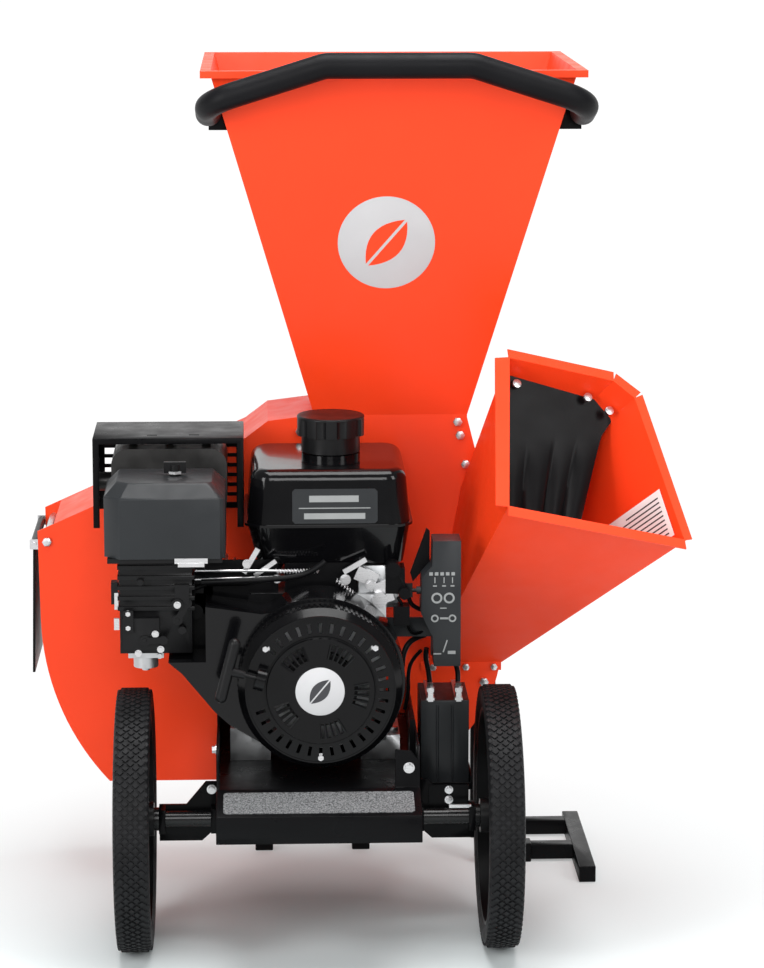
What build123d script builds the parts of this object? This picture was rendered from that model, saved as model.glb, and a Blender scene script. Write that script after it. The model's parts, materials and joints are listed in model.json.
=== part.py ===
from build123d import *
import math
import os

# Wheeled wood chipper with a top hopper, a side chute and a petrol engine.
# Working frame, in millimetres: X = 0 midway between the wheels, Y = 0 at the axle, Z = 0 on the floor,
# +Y runs from the engine's starter side towards the rotor housing, and -X is the discharge side.
# Every node is moved by (-ORIGIN_X, -ORIGIN_Y) as it is saved, which puts the origin under the box's centre.
ORIGIN_X = 59.29
ORIGIN_Y = 228.5

RUN = 0.05            # radial clearance of a running fit
GAP = 0.5             # gap between faces that move past each other
SHEET = 3.0           # plate of the housing
THIN = 2.5            # sheet of the hopper and the chute

AXLE_Z = 203.0
AXLE_R = 12.5
WHEEL_R = 203.0
WHEEL_X = 280.5
TYRE_W = 54.0
TYRE_IN_R = 168.0
HUB_HALF = 29.0
BRACKET_X = 244.0

DECK_HALF = 154.0
DECK_Z = 279.0
DECK_SHEET = 4.0
STEP_Y = -176.0
STEP_LOW_Z = 216.0
STEP_HIGH_Z = 258.0
STEP_BACK_Y = -106.0

FRONT_Y = 327.0       # front face of the housing's front plate
INNER_Y0 = FRONT_Y + SHEET
INNER_Y1 = 520.0
BACK_Y = INNER_Y1 + SHEET
CRANK_X = 4.0
CRANK_Z = 430.0
SHAFT_R = 14.0

LEG = 30.0
LEG_X = 82.0
LEG_Y = 470.0
RAIL_Z = 138.0
HOUSE_LOW_Z = 168.0

NECK_X0 = 2.5
NECK_X1 = 250.5
NECK_Z = 776.0
RIM_X0 = -160.0
RIM_X1 = 413.0
RIM_Y0 = 200.0
RIM_Y1 = 646.0
RIM_Z = 1340.0

HANDLE_R = 12.5
FOAM_R = 20.0
HANDLE_PATH = [(-162, 262, 1262), (-162, 146, 1294), (18, 140, 1351), (246, 140, 1351), (423, 146, 1294),
               (423, 262, 1262)]

FLAP_X = -452.0
FLAP_Z = 566.0

MOUTH = Plane(origin=(436, 55, 770), x_dir=(0.8, 0.3, 0), z_dir=(0.3, -0.8, 0.52))
MOUTH_POINTS = [(-116, 161), (54, 111), (84, 79), (108, -162), (-174, -83)]
BASE_POINTS = [(241, 656), (298, 648), (303, 618), (308, 362), (186, 362)]

COVER_Y1 = -42.0
COVER_R = 124.0
SHROUD_R = 130.0

TANK_SEAM_Z = 653.0
TANK_TOP_Z = 738.0
TANK_LOW_Z = 590.0
TANK_MID_X = 26.0
TANK_MID_Y = 175.0
NECK_R = 33.0

FOOT_TUBE = 25.0
SLEEVE = 32.0
ARM_Y = [408.0, 545.0]
FOOT_BAR_X0 = 436.0
FOOT_BAR_X1 = 463.0
CLEANER_Z = 619.0
UPRIGHT_X = 272.0

nodes = {}


def box(x0, x1, y0, y1, z0, z1):
    return Pos((x0 + x1) / 2, (y0 + y1) / 2, (z0 + z1) / 2) * Box(x1 - x0, y1 - y0, z1 - z0)


def rod(start, end, radius):
    along = Vector(*end) - Vector(*start)
    return Solid.make_cylinder(radius, along.length, Plane(origin=start, z_dir=along))


def tube(start, end, outer, inner):
    return rod(start, end, outer) - rod(start, end, inner)


def rod_x(y, z, x0, x1, radius):
    return rod((x0, y, z), (x1, y, z), radius)


def rod_y(x, z, y0, y1, radius):
    return rod((x, y0, z), (x, y1, z), radius)


def rod_z(x, y, z0, z1, radius):
    return rod((x, y, z0), (x, y, z1), radius)


def prism_y(points, y0, y1):
    """Extrude an outline given in X and Z from y0 to y1."""
    outline = make_face(Polyline(*[(x, y0, z) for x, z in points], close=True))
    return extrude(outline, amount=y1 - y0, dir=(0, 1, 0))


def prism_x(points, x0, x1):
    """Extrude an outline given in Y and Z from x0 to x1."""
    outline = make_face(Polyline(*[(x0, y, z) for y, z in points], close=True))
    return extrude(outline, amount=x1 - x0, dir=(1, 0, 0))


def rounded_slab(x0, x1, y0, y1, z, radius):
    return Pos((x0 + x1) / 2, (y0 + y1) / 2, z) * RectangleRounded(x1 - x0, y1 - y0, radius)


def hex_head(x, z, y0, y1, flats):
    """A hexagonal head on an axis along Y, of the given size across its flats."""
    corner = flats / 2 / math.cos(math.radians(30))
    return prism_y([polar(x, z, corner, 60 * k) for k in range(6)], y0, y1)


def polar(centre_x, centre_z, radius, degrees):
    angle = math.radians(degrees)
    return centre_x + radius * math.cos(angle), centre_z + radius * math.sin(angle)


def group(solids):
    return Compound(children=list(solids))


# ---------------------------------------------------------------- chassis

def make_deck():
    low_y = STEP_Y + DECK_SHEET
    profile = [(STEP_Y, STEP_LOW_Z), (STEP_Y, STEP_HIGH_Z), (STEP_BACK_Y, DECK_Z), (FRONT_Y, DECK_Z),
               (FRONT_Y, DECK_Z - DECK_SHEET), (STEP_BACK_Y, DECK_Z - DECK_SHEET),
               (low_y, STEP_HIGH_Z - DECK_SHEET), (low_y, STEP_LOW_Z)]
    deck = prism_x(profile, -DECK_HALF, DECK_HALF)
    skirt = [(STEP_Y, STEP_LOW_Z), (STEP_Y, STEP_HIGH_Z), (STEP_BACK_Y, DECK_Z), (FRONT_Y, DECK_Z),
             (FRONT_Y, STEP_LOW_Z)]
    low_wall = [(-100, DECK_Z), (-100, 325), (-85, 340), (FRONT_Y, 340), (FRONT_Y, DECK_Z)]
    tall_wall = [(48, DECK_Z), (48, 376), (60, 388), (FRONT_Y, 388), (FRONT_Y, DECK_Z)]
    for x0 in (-DECK_HALF, DECK_HALF - DECK_SHEET):
        deck += prism_x(skirt, x0, x0 + DECK_SHEET)
        deck += prism_x(low_wall, x0, x0 + DECK_SHEET)
    deck += prism_x(tall_wall, -DECK_HALF, -DECK_HALF + DECK_SHEET)
    deck += prism_y([(116, DECK_Z), (DECK_HALF, DECK_Z), (DECK_HALF, 318), (140, 336), (116, 338)], -100, -96)
    return deck


def make_grip():
    slope = math.atan2(DECK_Z - STEP_HIGH_Z, STEP_BACK_Y - STEP_Y)
    middle = Pos(0, (STEP_Y + STEP_BACK_Y) / 2, (STEP_HIGH_Z + DECK_Z) / 2)
    tape = extrude(RectangleRounded(2 * DECK_HALF - 22, 56, 6), amount=1.2)
    return middle * Rot(math.degrees(slope), 0, 0) * tape


def make_axle_brackets():
    """A plate behind the axle on each side of the deck, with two bored lugs that hold the axle."""
    brackets = []
    for side in (-1, 1):
        inner = DECK_HALF * side
        outline = [(inner, 258), (inner + side * 18, 258), (inner + side * 48, 222), (side * BRACKET_X, 222),
                   (side * BRACKET_X, 164), (inner + side * 24, 164), (inner, 186)]
        bracket = prism_y(outline, AXLE_R, AXLE_R + 5)
        for x in (inner + side * 5, side * (BRACKET_X - 5)):
            bracket += box(x - 5, x + 5, -AXLE_R - 5, AXLE_R + 1, AXLE_Z - 19, AXLE_Z + 19)
        bracket -= rod_x(0, AXLE_Z, side * 200 - 60, side * 200 + 60, AXLE_R)
        brackets.append(bracket)
    return group(brackets)


def make_wheel(side):
    """Tyre, disc wheel, and the cap that closes the axle's end, for one side."""
    x = WHEEL_X * side
    half = TYRE_W / 2
    ring = [(TYRE_IN_R, -half + 4), (TYRE_IN_R, half - 4), (TYRE_IN_R + 6, half), (WHEEL_R - 10, half),
            (WHEEL_R - 2, half - 6), (WHEEL_R, half - 12), (WHEEL_R, -half + 12), (WHEEL_R - 2, -half + 6),
            (WHEEL_R - 10, -half), (TYRE_IN_R + 6, -half)]
    outline = make_face(Polyline(*[(x + across, 0, AXLE_Z + up) for up, across in ring], close=True))
    tyre = revolve(outline, Axis((0, 0, AXLE_Z), (1, 0, 0)), 360)
    rim_half = half - 4
    rim = tube((x - rim_half, 0, AXLE_Z), (x + rim_half, 0, AXLE_Z), TYRE_IN_R, TYRE_IN_R - 6)
    rim += rod_x(0, AXLE_Z, x - 3, x + 3, TYRE_IN_R - 4)
    rim += rod_x(0, AXLE_Z, x - HUB_HALF, x + HUB_HALF, 26)
    rim += tube((x - 8, 0, AXLE_Z), (x + 8, 0, AXLE_Z), 74, 66)
    for k in range(6):
        y, z = polar(0, AXLE_Z, 112, 60 * k + 30)
        rim -= rod_x(y, z, x - 10, x + 10, 14)
    rim -= rod_x(0, AXLE_Z, x - 40, x + 40, AXLE_R + RUN)
    return tyre, rim


def make_axle():
    """The axle with its four collars as separate solids."""
    collars = [rod_x(0, AXLE_Z, -WHEEL_X - 34, WHEEL_X + 34, AXLE_R)]
    for side in (-1, 1):
        inner = sorted((side * BRACKET_X, side * (WHEEL_X - HUB_HALF - GAP)))
        outer = sorted((side * (WHEEL_X + HUB_HALF + GAP), side * (WHEEL_X + 34)))
        collars.append(tube((inner[0], 0, AXLE_Z), (inner[1], 0, AXLE_Z), 18, AXLE_R))
        collars.append(tube((outer[0], 0, AXLE_Z), (outer[1], 0, AXLE_Z), 20, AXLE_R))
    return group(collars)


def make_stand():
    """Two rails under the housing, their front uprights and the two rear legs."""
    stand = box(-LEG_X, LEG_X, 300, 300 + LEG, RAIL_Z, HOUSE_LOW_Z)
    for side in (-1, 1):
        x0 = LEG_X * side - LEG / 2
        x1 = x0 + LEG
        rail = box(x0, x1, 200, BACK_Y, RAIL_Z, HOUSE_LOW_Z)
        rail += box(x0, x1, 200, 200 + LEG, HOUSE_LOW_Z, DECK_Z - DECK_SHEET)
        rail += box(x0, x1, LEG_Y, LEG_Y + LEG, 0, RAIL_Z)
        stand += rail
    return stand


def make_sleeves():
    """Two square sleeves on the floor, each on an upright that is welded to the housing."""
    sleeves = []
    for y in ARM_Y:
        half = SLEEVE / 2
        part = box(UPRIGHT_X, 366, y - half, y + half, 0, SLEEVE)
        part += box(UPRIGHT_X, UPRIGHT_X + SLEEVE, y - half, y + half, SLEEVE, 420)
        if y > BACK_Y:
            part += box(UPRIGHT_X, UPRIGHT_X + 20, BACK_Y, y - half, 385, 415)
        part -= extrude(housing_outline(), amount=SHEET + INNER_Y1 - FRONT_Y, dir=(0, 1, 0))
        bore = FOOT_TUBE / 2 + 0.4
        part -= box(UPRIGHT_X + 4, 367, y - bore, y + bore, SLEEVE / 2 - bore, SLEEVE / 2 + bore)
        keep = [solid for solid in part.solids() if solid.center().X > 0]
        sleeves.append(max(keep, key=lambda solid: solid.volume))
    return group(sleeves)


def make_foot():
    foot = box(FOOT_BAR_X0, FOOT_BAR_X1, 281, 591, 0, FOOT_BAR_X1 - FOOT_BAR_X0)
    half = FOOT_TUBE / 2
    middle = SLEEVE / 2
    for y in ARM_Y:
        foot += box(334, FOOT_BAR_X0, y - half, y + half, middle - half, middle + half)
    return foot


def foot_screws():
    screws = []
    for y in ARM_Y:
        screws.append(rod_z(346, y, SLEEVE, SLEEVE + 5, 9) + rod_z(346, y, SLEEVE + 5, SLEEVE + 12, 6))
    return screws


def build_chassis():
    nodes["deck"] = make_deck()
    nodes["step_grip"] = make_grip()
    nodes["axle_brackets"] = make_axle_brackets()
    nodes["axle"] = make_axle()
    nodes["left_tyre"], nodes["left_wheel"] = make_wheel(-1)
    nodes["right_tyre"], nodes["right_wheel"] = make_wheel(1)
    nodes["rear_stand"] = make_stand()
    nodes["foot_sleeves"] = make_sleeves()
    nodes["foot"] = make_foot()


# ---------------------------------------------------------------- rotor housing

def housing_outline():
    """The outline that both side plates share, as a face at the front plate's front."""
    corners = [(308, 380), (308, 555), (262, 725), (249, NECK_Z), (1, NECK_Z), (-72, 767), (-109, 739),
               (-446, 588), (-443, 440)]
    points = [(x, FRONT_Y, z) for x, z in corners]
    low_left = (-335, FRONT_Y, HOUSE_LOW_Z)
    low_right = (130, FRONT_Y, HOUSE_LOW_Z)
    edges = [Polyline(*points), ThreePointArc(points[-1], (-408, FRONT_Y, 281), low_left),
             Line(low_left, low_right), ThreePointArc(low_right, (249, FRONT_Y, 240), points[0])]
    return make_face(edges)


SPACERS = [(-431, 571), (-316, 192), (96, 190), (280, 330), (248, 694), (-20, 750)]
NECK_BOLTS = [(18, 758), (235, 764), (239, 742)]
CHUTE_BOLTS = [(196, 356), (250, 356), (296, 356)]


def make_side_plate(y0, centre_radius, chute_opening):
    plate = extrude(housing_outline(), amount=SHEET, dir=(0, 1, 0))
    plate = Pos(0, y0 - FRONT_Y, 0) * plate
    plate -= rod_y(CRANK_X, CRANK_Z, y0 - 1, y0 + SHEET + 1, centre_radius)
    for x, z in SPACERS:
        plate -= rod_y(x, z, y0 - 1, y0 + SHEET + 1, 4)
    if chute_opening:
        inner = [(248 + 0.86 * (x - 248), 500 + 0.92 * (z - 500)) for x, z in BASE_POINTS]
        plate -= prism_y(inner, y0 - 1, y0 + SHEET + 1)
    return plate


def make_wrap():
    """The band between the plates, open at the neck and at the discharge side."""
    outer = housing_outline()
    inner = offset(outer, amount=-SHEET, kind=Kind.INTERSECTION)
    band = extrude(outer, amount=INNER_Y1 - INNER_Y0, dir=(0, 1, 0))
    band -= extrude(inner, amount=INNER_Y1 - INNER_Y0, dir=(0, 1, 0))
    band = Pos(0, SHEET, 0) * band
    band -= box(0, 253, INNER_Y0 - 1, INNER_Y1 + 1, 740, 800)
    band -= box(-460, -380, INNER_Y0 - 1, INNER_Y1 + 1, 352, 600)
    return group(solid for solid in band.solids() if solid.volume > 5000)


def make_spacers():
    """Spacer tubes between the plates, and the rod that the flap hangs on."""
    spacers = [tube((x, INNER_Y0, z), (x, INNER_Y1, z), 8, 4) for x, z in SPACERS]
    return group(spacers + [make_flap_rod()])


def housing_bolts():
    bolts = []
    for x, z in SPACERS:
        shank = rod_y(x, z, FRONT_Y - 6, BACK_Y + 6, 4)
        heads = hex_head(x, z, FRONT_Y - 6, FRONT_Y, 13) + hex_head(x, z, BACK_Y, BACK_Y + 6, 13)
        bolts.append(shank + heads)
    for x, z in CHUTE_BOLTS:
        bolts.append(hex_head(x, z, FRONT_Y - THIN - 5, FRONT_Y - THIN, 10))
    for x, z in NECK_BOLTS:
        bolts.append(hex_head(x, z, FRONT_Y - 6, FRONT_Y, 13))
        bolts.append(hex_head(x, z, BACK_Y, BACK_Y + 6, 13))
    return bolts


def make_flap():
    """Rubber flap with the sleeve that turns on the rod."""
    sleeve = tube((FLAP_X, FRONT_Y + 6, FLAP_Z), (FLAP_X, BACK_Y - 6, FLAP_Z), 6.5, 4 + RUN)
    sheet = prism_y([(FLAP_X - 2, FLAP_Z - 5.5), (FLAP_X + 2, FLAP_Z - 5.5), (FLAP_X - 2, 352),
                     (FLAP_X - 6, 352)], INNER_Y0 + 1.5, INNER_Y1 - 1.5)
    return sleeve + sheet


def make_flap_rod():
    """The flap's rod and the two ears that hold it on the plates' edges."""
    pin = rod_y(FLAP_X, FLAP_Z, FRONT_Y - 4, BACK_Y + 4, 4)
    for y0 in (FRONT_Y, BACK_Y - SHEET):
        ear = box(FLAP_X - 7, -445.4, y0, y0 + SHEET, FLAP_Z - 8, FLAP_Z + 8)
        ear -= extrude(Pos(0, y0 - FRONT_Y, 0) * housing_outline(), amount=SHEET, dir=(0, 1, 0))
        pin += ear
    return pin


def make_screen():
    """Curved screen under the rotor, with rows of slots."""
    outer, inner = 246.0, 242.0
    ring = tube((CRANK_X, INNER_Y0, CRANK_Z), (CRANK_X, INNER_Y1, CRANK_Z), outer, inner)
    sector = [(CRANK_X, CRANK_Z)] + [polar(CRANK_X, CRANK_Z, 420, a) for a in (205, 238, 270, 302, 335)]
    screen = ring & prism_y(sector, INNER_Y0, INNER_Y1)
    for degrees in range(214, 330, 16):
        x, z = polar(CRANK_X, CRANK_Z, 244, degrees)
        for y in (368, 425, 482):
            slot = Pos(x, y, z) * Rot(0, 90 - degrees, 0) * Box(28, 34, 14)
            screen -= slot
    return screen


def build_housing():
    nodes["housing_front_plate"] = make_side_plate(FRONT_Y, 92, True)
    nodes["housing_back_plate"] = make_side_plate(INNER_Y1, 46, False)
    nodes["housing_wrap"] = make_wrap()
    nodes["housing_spacers"] = make_spacers()
    nodes["discharge_flap"] = make_flap()
    nodes["discharge_screen"] = make_screen()


# ---------------------------------------------------------------- rotor

HAMMER_R = 128.0
HAMMER_ANGLES = [45, 135, 225, 315]
DISC_Y0 = 352.0
DISC_Y1 = 366.0
REAR_PLATES = [(428.0, 436.0), (496.0, 504.0)]


def make_crankshaft():
    """One shaft from the starter cup to the housing's rear bearing, with two webs and a crank pin."""
    shaft = rod_y(CRANK_X, CRANK_Z, -36, 544, SHAFT_R)
    shaft -= box(CRANK_X - 20, CRANK_X + 20, 122, 158, CRANK_Z - 20, CRANK_Z + 20)
    for y0 in (108.0, 158.0):
        shaft += rod_y(CRANK_X, CRANK_Z, y0, y0 + 14, 52)
    shaft += rod_y(CRANK_X, CRANK_Z + 30, 118, 162, 15)
    return shaft


def make_rotor():
    """Knife disc, spacer hub and two rear plates that carry the hammers' pins."""
    rotor = rod_y(CRANK_X, CRANK_Z, DISC_Y0, DISC_Y1, 205)
    rotor += rod_y(CRANK_X, CRANK_Z, DISC_Y1, REAR_PLATES[1][1], 38)
    for y0, y1 in REAR_PLATES:
        rotor += rod_y(CRANK_X, CRANK_Z, y0, y1, 152)
    for degrees in (0, 180):
        x, z = polar(CRANK_X, CRANK_Z, 120, degrees)
        rotor -= Pos(x, (DISC_Y0 + DISC_Y1) / 2, z) * Rot(0, -degrees, 0) * Box(96, 40, 16)
    rotor -= rod_y(CRANK_X, CRANK_Z, DISC_Y0 - 1, REAR_PLATES[1][1] + 1, SHAFT_R)
    for degrees in HAMMER_ANGLES:
        x, z = polar(CRANK_X, CRANK_Z, HAMMER_R, degrees)
        rotor -= rod_y(x, z, REAR_PLATES[0][0] - 1, REAR_PLATES[1][1] + 1, 8)
    return rotor


def make_knives():
    knives = []
    for degrees in (0, 180):
        x, z = polar(0, 0, 120, degrees)
        blade = Box(100, 8, 40) - Pos(0, -4, -20) * Rot(45, 0, 0) * Box(102, 8, 8)
        placed = Pos(CRANK_X + x, DISC_Y0 - 4, CRANK_Z + z) * Rot(0, -degrees, 0) * Pos(0, 0, 28)
        knives.append(placed * blade)
    return group(knives + knife_bolts())


def knife_bolts():
    bolts = []
    for sign in (-1, 1):
        for step in (-34, 0, 34):
            x, z = CRANK_X + sign * (120 + step), CRANK_Z + sign * 28
            bolts.append(hex_head(x, z, DISC_Y0 - 12, DISC_Y0 - 8, 10))
    return bolts


def make_hammer_pins():
    pins = []
    for degrees in HAMMER_ANGLES:
        x, z = polar(CRANK_X, CRANK_Z, HAMMER_R, degrees)
        pins.append(rod_y(x, z, REAR_PLATES[0][0], REAR_PLATES[1][1] + 5, 8) +
                    rod_y(x, z, REAR_PLATES[1][1], REAR_PLATES[1][1] + 5, 11))
    return group(pins)


def make_hammer(degrees):
    """Three flat bars on one sleeve, hanging outwards from a pin."""
    x, z = polar(CRANK_X, CRANK_Z, HAMMER_R, degrees)
    y0, y1 = REAR_PLATES[0][1] + 1, REAR_PLATES[1][0] - 1
    hammer = Solid.make_cylinder(13, y1 - y0, Plane(origin=(0, y0, 0), z_dir=(0, 1, 0)))
    for start in (y0, (y0 + y1) / 2 - 5, y1 - 10):
        hammer += box(0, 72, start, start + 10, -16, 16)
        hammer += rod_y(0, 0, start, start + 10, 16)
    hammer -= rod_y(0, 0, y0 - 1, y1 + 1, 8 + RUN)
    return Pos(x, 0, z) * Rot(0, -degrees, 0) * hammer


def make_rear_bearing():
    """Flanged bearing on the back plate."""
    flange = prism_y([polar(CRANK_X, CRANK_Z, 66, a) for a in (0, 90, 180, 270)], BACK_Y, BACK_Y + 10)
    bearing = flange + rod_y(CRANK_X, CRANK_Z, BACK_Y - 2, BACK_Y + 26, 40)
    return bearing - rod_y(CRANK_X, CRANK_Z, BACK_Y - 3, BACK_Y + 27, SHAFT_R + RUN)


def build_rotor():
    nodes["crankshaft"] = make_crankshaft()
    nodes["rotor"] = make_rotor()
    nodes["chipper_knives"] = make_knives()
    nodes["hammer_pins"] = make_hammer_pins()
    for number, degrees in enumerate(HAMMER_ANGLES, start=1):
        nodes[f"hammer_{number}"] = make_hammer(degrees)
    nodes["rear_bearing"] = make_rear_bearing()


# ---------------------------------------------------------------- hopper and handle

def rectangle(x0, x1, y0, y1, z):
    return make_face(Polyline((x0, y0, z), (x1, y0, z), (x1, y1, z), (x0, y1, z), close=True))


def hopper_cone(inset):
    neck = rectangle(NECK_X0 + inset, NECK_X1 - inset, FRONT_Y + inset, BACK_Y - inset, NECK_Z)
    rim = rectangle(RIM_X0 + inset, RIM_X1 - inset, RIM_Y0 + inset, RIM_Y1 - inset, RIM_Z)
    return loft([neck, rim], ruled=True)


def make_hopper():
    hopper = hopper_cone(0) - hopper_cone(THIN)
    skirt = box(NECK_X0, NECK_X1, INNER_Y0, INNER_Y1, 744, NECK_Z)
    skirt -= box(NECK_X0 + THIN, NECK_X1 - THIN, INNER_Y0 + THIN, INNER_Y1 - THIN, 743, NECK_Z + 1)
    lip = 14.0
    flange = box(RIM_X0 - lip, RIM_X1 + lip, RIM_Y0 - lip, RIM_Y1 + lip, RIM_Z - THIN, RIM_Z)
    fold = box(RIM_X0 - lip, RIM_X1 + lip, RIM_Y0 - lip, RIM_Y1 + lip, RIM_Z - 11, RIM_Z)
    fold -= box(RIM_X0 - lip + THIN, RIM_X1 + lip - THIN, RIM_Y0 - lip + THIN, RIM_Y1 + lip - THIN,
                RIM_Z - 12, RIM_Z + 1)
    rim = flange - box(RIM_X0 + 1, RIM_X1 - 1, RIM_Y0 + 1, RIM_Y1 - 1, RIM_Z - 12, RIM_Z + 1)
    rim -= hopper_cone(THIN)
    return hopper + skirt + rim + fold


def handle_sweep(radius, points):
    path = FilletPolyline(*points, radius=46)
    return sweep(Plane(origin=path @ 0, z_dir=path % 0) * Circle(radius), path=path)


def make_foam():
    """Foam sleeve over the middle of the handlebar, split off from the bar's own space."""
    start = Vector(*HANDLE_PATH[0]) + (Vector(*HANDLE_PATH[1]) - Vector(*HANDLE_PATH[0])) * 0.3
    end = Vector(*HANDLE_PATH[5]) + (Vector(*HANDLE_PATH[4]) - Vector(*HANDLE_PATH[5])) * 0.3
    points = [start] + HANDLE_PATH[1:5] + [end]
    return handle_sweep(FOAM_R, points) - handle_sweep(HANDLE_R, HANDLE_PATH)


def make_handle_brackets():
    """Two brackets between the bar's ends and the hopper's sloping side walls."""
    brackets = []
    for bar_x, wall_x in ((HANDLE_PATH[0][0], -120), (HANDLE_PATH[5][0], 373)):
        low, high = sorted((bar_x, wall_x))
        block = box(low, high, 246, 292, 1244, 1276)
        block -= hopper_cone(0)
        block -= handle_sweep(HANDLE_R, HANDLE_PATH)
        solids = [solid for solid in block.solids() if abs(solid.center().X - bar_x) < 40]
        brackets.append(max(solids, key=lambda solid: solid.volume))
    return group(brackets)


def build_hopper():
    nodes["hopper"] = make_hopper()
    nodes["handlebar"] = handle_sweep(HANDLE_R, HANDLE_PATH)
    nodes["handle_foam"] = make_foam()
    nodes["handle_brackets"] = make_handle_brackets()


# ---------------------------------------------------------------- chute

def mouth_face(points, depth=0.0):
    corners = [MOUTH.from_local_coords(Vector(u, v, depth)) for u, v in points]
    return make_face(Polyline(*corners, close=True))


def shrink(points, amount):
    """Move every side of a convex outline inwards by about the given amount."""
    middle_u = sum(u for u, v in points) / len(points)
    middle_v = sum(v for u, v in points) / len(points)
    moved = []
    for u, v in points:
        reach = math.hypot(u - middle_u, v - middle_v)
        factor = 1 - 1.35 * amount / reach
        moved.append((middle_u + factor * (u - middle_u), middle_v + factor * (v - middle_v)))
    return moved


def chute_funnel(amount):
    mouth = mouth_face(shrink(MOUTH_POINTS, amount))
    corners = [(x, FRONT_Y, z) for x, z in shrink(BASE_POINTS, amount)]
    return loft([make_face(Polyline(*corners, close=True)), mouth], ruled=True)


def make_chute():
    chute = chute_funnel(0) - chute_funnel(THIN)
    top_left, top_right, bevel, low_right, low_left = shrink(MOUTH_POINTS, THIN / 2)
    lips = [
        [top_left, top_right, (56, 123), (-114, 173)],
        [top_right, bevel, (94, 86), (60, 120)],
        [bevel, low_right, (120, -160), (96, 82)],
        [low_left, low_right, (106, -175), (-176, -96)],
        [top_left, low_left, (-193, -78), (-138, 160)],
    ]
    for corners in lips:
        chute += extrude(mouth_face(corners, 0), amount=THIN, dir=-MOUTH.z_dir)
    flange = box(176, 308, FRONT_Y - THIN, FRONT_Y, 350, 364)
    return chute + flange


CURTAIN_POINTS = [(-104, 149), (46, 108), (77, 77), (42, 42), (-27, -101), (-154, -61)]
CURTAIN_DEPTH = -40.0


def make_curtain():
    """Rubber curtain across the chute, a little way in from the mouth."""
    sheet = extrude(mouth_face(CURTAIN_POINTS, CURTAIN_DEPTH), amount=4, dir=-MOUTH.z_dir)
    return sheet & chute_funnel(THIN + 1)


def curtain_bolts():
    bolts = []
    for u, v in ((-94, 129), (21, 98), (52, 73)):
        centre = MOUTH.from_local_coords(Vector(u, v, CURTAIN_DEPTH))
        bolts.append(Solid.make_cylinder(7, 5, Plane(origin=centre, z_dir=MOUTH.z_dir)))
    return bolts


def build_chute():
    nodes["chute"] = make_chute()
    nodes["chute_curtain"] = make_curtain()


# ---------------------------------------------------------------- engine

CYLINDER_TILT = 25.0


def make_block():
    """Crankcase on its feet, with the finned cylinder and head leaning to the discharge side."""
    block = box(-100, 108, 44, 286, 312, 545)
    block += box(-134, -71, 56, 270, DECK_Z, 330)
    block += box(69, 130, 56, 270, DECK_Z, 318)
    block += box(66, 128, 62, 150, 520, 586)
    tilt = Pos(CRANK_X, 0, CRANK_Z) * Rot(0, CYLINDER_TILT, 0)
    block += tilt * Pos(-160, 145, 0) * Box(150, 96, 96)
    for step in range(9):
        block += tilt * Pos(-118 - 14 * step, 145, 0) * Box(4, 164, 134)
    block += tilt * Pos(-248, 145, 0) * Box(26, 150, 120)
    block += tilt * Pos(-272, 145, 0) * Box(24, 112, 92)
    for y in (100, 250):
        block += box(-40, 60, y - 8, y + 8, 544, TANK_LOW_Z)
    block += rod_y(CRANK_X, CRANK_Z, 285, FRONT_Y, 112)
    block += rod_y(CRANK_X, CRANK_Z, FRONT_Y - 1, INNER_Y0, 92)
    block -= rod_y(CRANK_X, CRANK_Z, 296, INNER_Y0 + 1, 80)
    block -= rod_y(CRANK_X, CRANK_Z, 100, 180, 62)
    block -= rod_y(CRANK_X, CRANK_Z, 40, INNER_Y0 + 1, SHAFT_R + RUN)
    return block


SHROUD_POINTS = [(-169, 547), (-83, 535), (4, 552), (60, 430), (-50, 320), (-88, 335), (-133, 362),
                 (-156, 383), (-205, 443), (-226, 461), (-169, 461)]


def make_shroud():
    corners = [(x, COVER_Y1 + 2, z) for x, z in SHROUD_POINTS]
    outer_face = make_face(Polyline(*corners, close=True))
    inner_face = offset(outer_face, amount=-THIN, kind=Kind.INTERSECTION)
    deep = 44 - COVER_Y1 - 2
    outer = extrude(outer_face, amount=deep, dir=(0, 1, 0))
    outer += rod_y(CRANK_X, CRANK_Z, COVER_Y1 + 2, 44, SHROUD_R)
    inner = Pos(0, THIN, 0) * extrude(inner_face, amount=deep, dir=(0, 1, 0))
    inner += rod_y(CRANK_X, CRANK_Z, COVER_Y1 + 2 + THIN, 45, SHROUD_R - THIN)
    shroud = outer - inner
    return shroud - rod_y(CRANK_X, CRANK_Z, COVER_Y1 - 1, COVER_Y1 + 8, 104)


def make_recoil_cover():
    profile = [(COVER_R, COVER_Y1), (COVER_R, -80), (112, -93), (84, -95), (81, -101), (0, -101), (0, -98),
               (79, -98), (82, -92.5), (110, -90.5), (121, -78.5), (121, -45), (104, -45), (104, COVER_Y1)]
    points = [(CRANK_X + radius, y, CRANK_Z) for radius, y in profile]
    cover = revolve(make_face(Polyline(*points, close=True)), Axis((CRANK_X, 0, CRANK_Z), (0, 1, 0)), 360)
    cover += rod_y(CRANK_X, CRANK_Z, COVER_Y1, COVER_Y1 + 2, 121) - rod_y(CRANK_X, CRANK_Z, -43, -39, 104)
    for degrees in (128, 62, -6, -75, -145):
        for step in (-12, -4, 4, 12):
            x, z = polar(CRANK_X, CRANK_Z, 62, degrees + step)
            cover -= Pos(x, -99, z) * Rot(0, -degrees - step, 0) * Box(22, 12, 4.5)
    for degrees in range(0, 360, 10):
        if not 140 < degrees < 200:
            x, z = polar(CRANK_X, CRANK_Z, 96, degrees)
            cover -= Pos(x, -94, z) * Rot(0, -degrees, 0) * Box(15, 12, 5)
    cover += rod(ROPE_EXIT, Vector(*ROPE_EXIT) + PULL_DIRECTION * 14, 17)
    cover -= rod(Vector(*ROPE_EXIT) - PULL_DIRECTION, Vector(*ROPE_EXIT) + PULL_DIRECTION * 15, 4)
    cover += rod_y(CRANK_X, CRANK_Z, -99, -58, 8)
    return cover


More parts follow.
